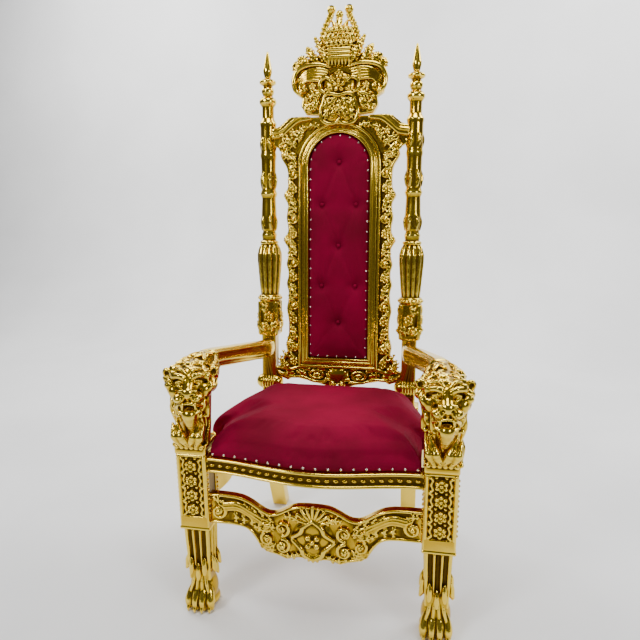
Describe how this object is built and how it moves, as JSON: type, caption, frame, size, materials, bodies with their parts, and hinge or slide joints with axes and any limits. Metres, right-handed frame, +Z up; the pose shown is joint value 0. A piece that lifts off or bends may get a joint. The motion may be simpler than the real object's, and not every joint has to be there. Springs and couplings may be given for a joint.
{
  "type": "throne",
  "caption": "High-backed gilded ceremonial throne with lion-head arm supports, tufted velvet back and an upholstered seat.",
  "frame": {"origin": "on the floor, at the centre of the footprint", "axes": "+Z up, the sitter faces -Y, +X to the right as seen from the front"},
  "size_m": [0.8642, 0.73, 1.8299],
  "materials": {
    "gilt": "carved wood under glossy gold leaf",
    "velvet": "crimson velvet over foam",
    "dust_cloth": "plain cloth cover behind the back panel"
  },
  "bodies": {
    "root": {"front_leg_left": "gilt", "lion_head_left": "gilt", "arm_left": "gilt", "seat_rail_left": "gilt", "rear_leg_left": "gilt", "front_leg_right": "gilt", "lion_head_right": "gilt", "arm_right": "gilt", "seat_rail_right": "gilt", "rear_leg_right": "gilt", "seat_rail_front": "gilt", "seat_rail_rear": "gilt", "apron_front": "gilt", "seat_cushion": "velvet", "back_post_left": "gilt", "back_post_right": "gilt", "back_frame": "gilt", "crest": "gilt", "back_pad": "velvet", "back_cover": "dust_cloth", "button_1": "velvet", "button_2": "velvet", "button_3": "velvet", "button_4": "velvet", "button_5": "velvet", "button_6": "velvet", "button_7": "velvet"}
  },
  "joints": []
}
